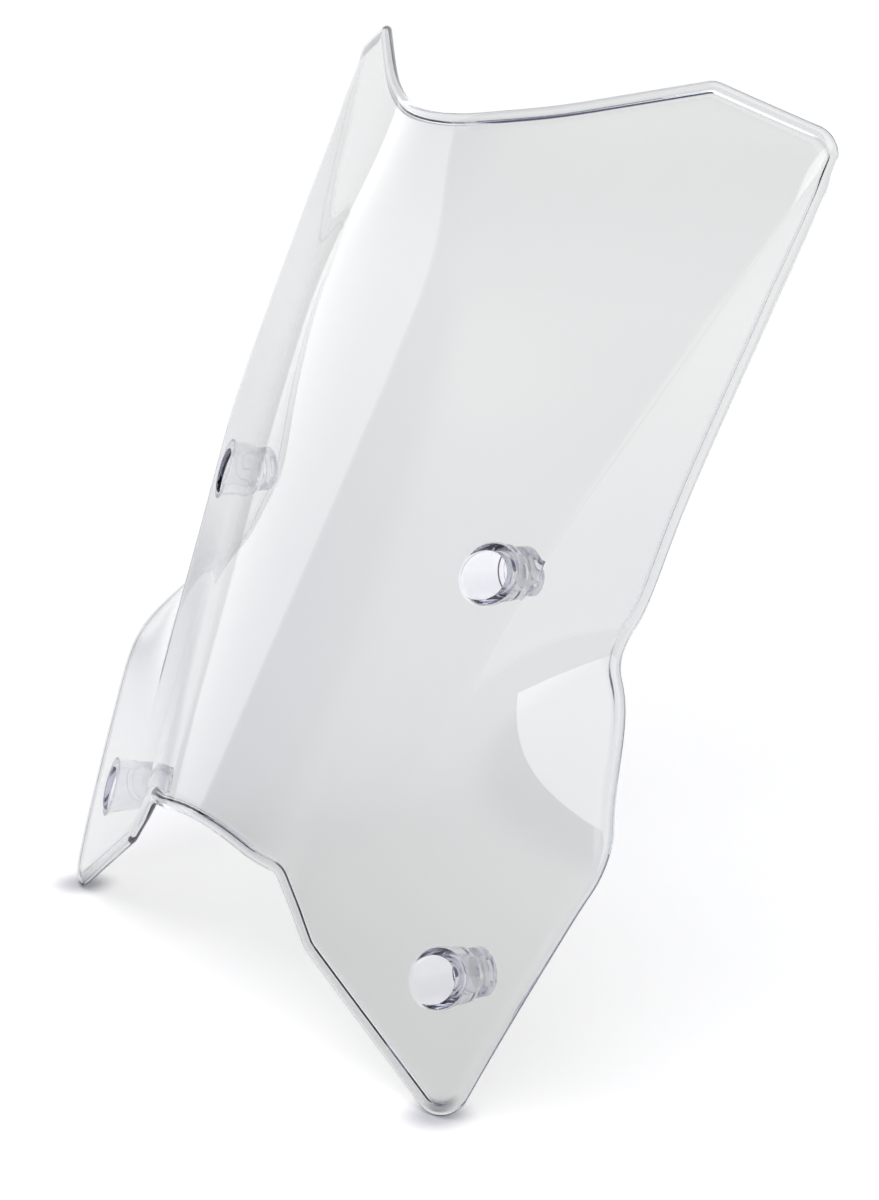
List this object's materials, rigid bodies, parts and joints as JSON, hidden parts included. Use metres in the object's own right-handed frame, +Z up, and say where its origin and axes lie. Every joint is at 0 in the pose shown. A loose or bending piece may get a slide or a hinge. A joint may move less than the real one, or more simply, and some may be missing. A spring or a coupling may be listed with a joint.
{
  "type": "motorcycle windshield screen",
  "caption": "Clear folded motorcycle windshield screen with swept wings, low ears, a thick rounded rim and blind mounting cups behind.",
  "frame": {"origin": "middle of the rectangle-like pattern of the four cup ends' screw holes, on the screen's plane of symmetry", "axes": "+X to the screen's side that is nearer in the picture, +Y to the rear towards the rider, +Z up, at the lean the screen has on the motorcycle"},
  "size_m": [0.3918, 0.2059, 0.4126],
  "materials": {
    "screen_panel": "clear injection-moulded polycarbonate, glossy",
    "cup_tube_upper_left": "clear injection-moulded polycarbonate, glossy",
    "cup_tube_upper_right": "clear injection-moulded polycarbonate, glossy",
    "cup_tube_lower_left": "clear injection-moulded polycarbonate, glossy",
    "cup_tube_lower_right": "clear injection-moulded polycarbonate, glossy",
    "cup_end_upper_left": "clear injection-moulded polycarbonate, glossy",
    "cup_end_upper_right": "clear injection-moulded polycarbonate, glossy",
    "cup_end_lower_left": "clear injection-moulded polycarbonate, glossy",
    "cup_end_lower_right": "clear injection-moulded polycarbonate, glossy"
  },
  "bodies": {
    "root": {"screen_panel": "screen_panel", "cup_tube_upper_left": "cup_tube_upper_left", "cup_tube_upper_right": "cup_tube_upper_right", "cup_tube_lower_left": "cup_tube_lower_left", "cup_tube_lower_right": "cup_tube_lower_right", "cup_end_upper_left": "cup_end_upper_left", "cup_end_upper_right": "cup_end_upper_right", "cup_end_lower_left": "cup_end_lower_left", "cup_end_lower_right": "cup_end_lower_right"}
  },
  "joints": []
}
